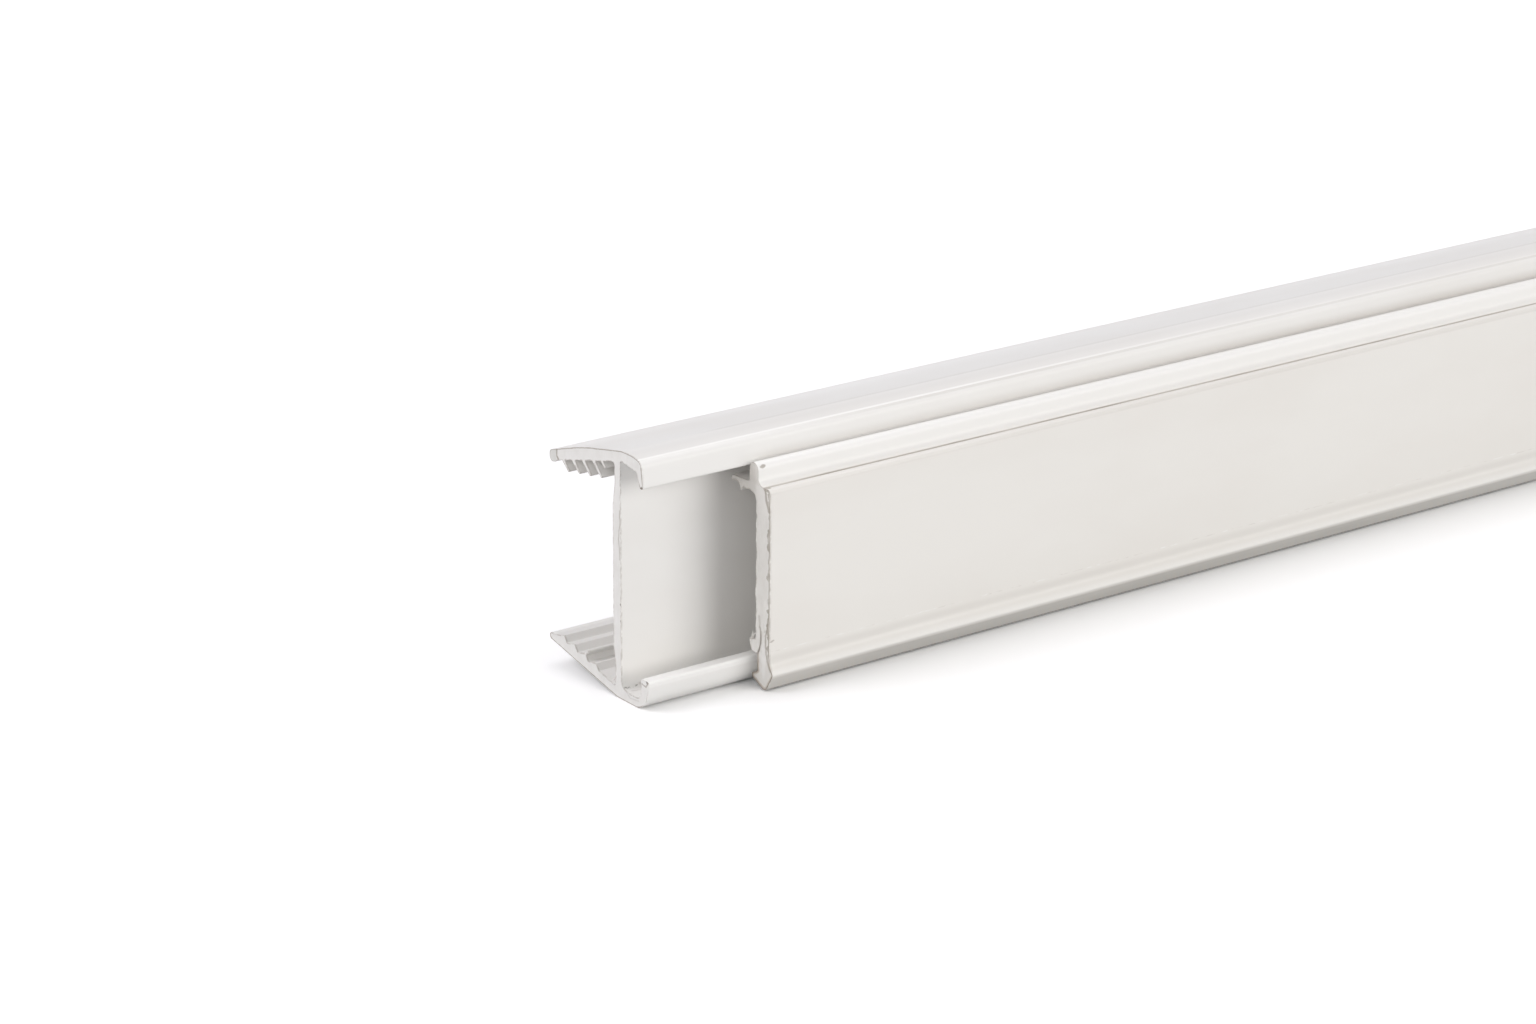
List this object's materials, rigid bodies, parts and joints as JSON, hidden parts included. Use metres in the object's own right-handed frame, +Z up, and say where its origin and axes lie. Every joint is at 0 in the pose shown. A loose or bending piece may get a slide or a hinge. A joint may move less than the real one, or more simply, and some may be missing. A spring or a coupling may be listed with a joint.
{
  "type": "clip-on sliding track",
  "caption": "Extruded plastic rail that clips onto a board's edge with toothed jaws, with a hook-on cover strip that slides along its front.",
  "frame": {"origin": "on the rail's flat underside, in the plane of the web's front face, half-way along the rail", "axes": "+X along the track, away from the end that the cover stands back from; +Y to the rear, out of the board clip; +Z up"},
  "size_m": [0.2123, 0.0199, 0.0252],
  "materials": {
    "rail_plastic": "matte",
    "cover_plastic": "matte"
  },
  "bodies": {
    "rail": {"clip_rail": "rail_plastic"},
    "cover": {"slide_cover": "cover_plastic"}
  },
  "joints": [
    {"name": "cover_slide", "type": "slide", "parent": "rail", "child": "cover", "axis": [1, 0, 0], "range_m": [-0.192, 0.167]}
  ]
}
